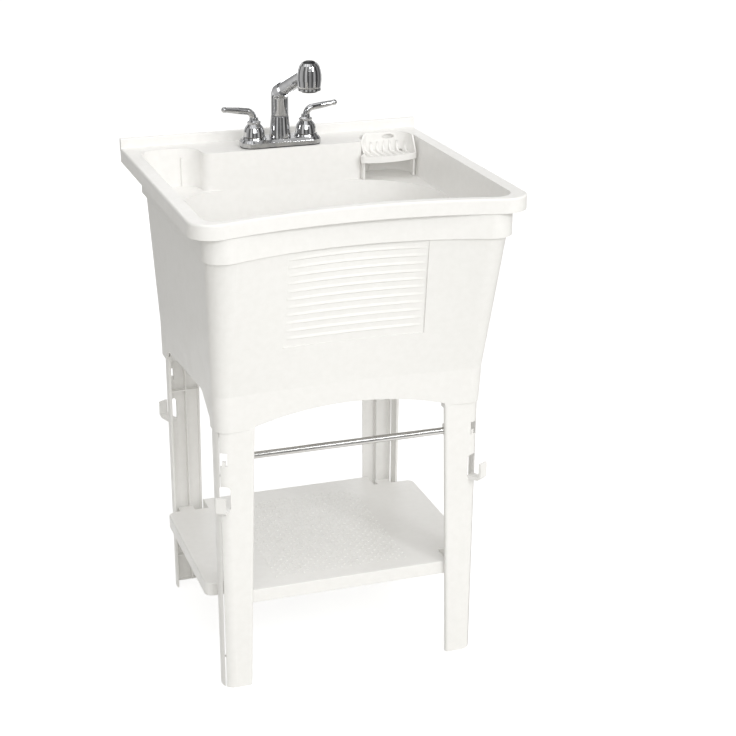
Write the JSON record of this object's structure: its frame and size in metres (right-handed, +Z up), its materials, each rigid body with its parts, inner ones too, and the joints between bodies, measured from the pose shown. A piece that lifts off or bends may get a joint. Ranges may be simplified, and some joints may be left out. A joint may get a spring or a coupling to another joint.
{
  "type": "utility laundry sink",
  "caption": "Free-standing moulded utility sink on legs with a shelf, towel bar, loose soap dish, two-lever tap and pull-out spray.",
  "frame": {"origin": "on the floor, below the middle of the rim", "axes": "+X to the user's right, front faces -Y, +Z up"},
  "size_m": [0.59, 0.582, 1.0919],
  "materials": {
    "white_plastic": "satin moulded",
    "chrome": "polished",
    "steel": "brushed",
    "brass": "machined",
    "rubber": "matt",
    "black_plastic": "gloss",
    "grey_plastic": "matt",
    "drain_plastic": "matt"
  },
  "bodies": {
    "stand": {"basin": "white_plastic", "leg_front_left": "white_plastic", "leg_front_right": "white_plastic", "leg_rear_left": "white_plastic", "leg_rear_right": "white_plastic", "shelf": "white_plastic", "towel_bar": "steel", "faucet_base": "chrome", "spout_column": "chrome", "faucet_gasket": "rubber", "waterway": "brass", "mounting_nuts": "drain_plastic", "valve_body_hot": "brass", "cartridge_hot": "grey_plastic", "valve_body_cold": "brass", "cartridge_cold": "grey_plastic", "spout_bushing": "grey_plastic", "drain_body": "steel", "drain_washer": "rubber", "drain_locknut": "drain_plastic", "tailpiece": "drain_plastic", "tailpiece_nut": "drain_plastic"},
    "spout": {"spout_neck": "chrome"},
    "spray": {"spray_wand": "chrome", "spray_ring": "chrome", "spray_nozzle": "black_plastic", "hose_end": "brass", "button_spring": "steel"},
    "button": {"spray_button": "black_plastic"},
    "basket": {"strainer_basket": "steel", "basket_post": "drain_plastic"},
    "dish": {"soap_dish": "white_plastic"},
    "hot_handle": {"handle_hot": "chrome", "valve_stem_hot": "brass", "handle_screw_hot": "steel"},
    "cold_handle": {"handle_cold": "chrome", "valve_stem_cold": "brass", "handle_screw_cold": "steel"}
  },
  "joints": [
    {"name": "hot_lever_turn", "type": "hinge", "parent": "stand", "child": "hot_handle", "pos_m": [-0.0508, 0.22, 0.94], "axis": [0, 0, 1], "range_deg": [0, 90]},
    {"name": "cold_lever_turn", "type": "hinge", "parent": "stand", "child": "cold_handle", "pos_m": [0.0508, 0.22, 0.94], "axis": [0, 0, 1], "range_deg": [-90, 0]},
    {"name": "spout_swivel", "type": "hinge", "parent": "stand", "child": "spout", "pos_m": [0, 0.22, 0.97], "axis": [0, 0, 1], "range_deg": [-60, 60]},
    {"name": "spray_pull", "type": "slide", "parent": "spout", "child": "spray", "axis": [0, -0.9397, 0.342], "range_m": [0, 0.25]},
    {"name": "spray_button_press", "type": "slide", "parent": "spray", "child": "button", "axis": [0, 0, -1], "range_m": [0, 0.0025], "stiffness_N_per_m": 900, "deforming": ["button_spring"]},
    {"name": "basket_lift", "type": "slide", "parent": "stand", "child": "basket", "axis": [0, 0, 1], "range_m": [0, 0.1]},
    {"name": "dish_lift", "type": "slide", "parent": "stand", "child": "dish", "axis": [0, 0, 1], "range_m": [0, 0.08]}
  ]
}
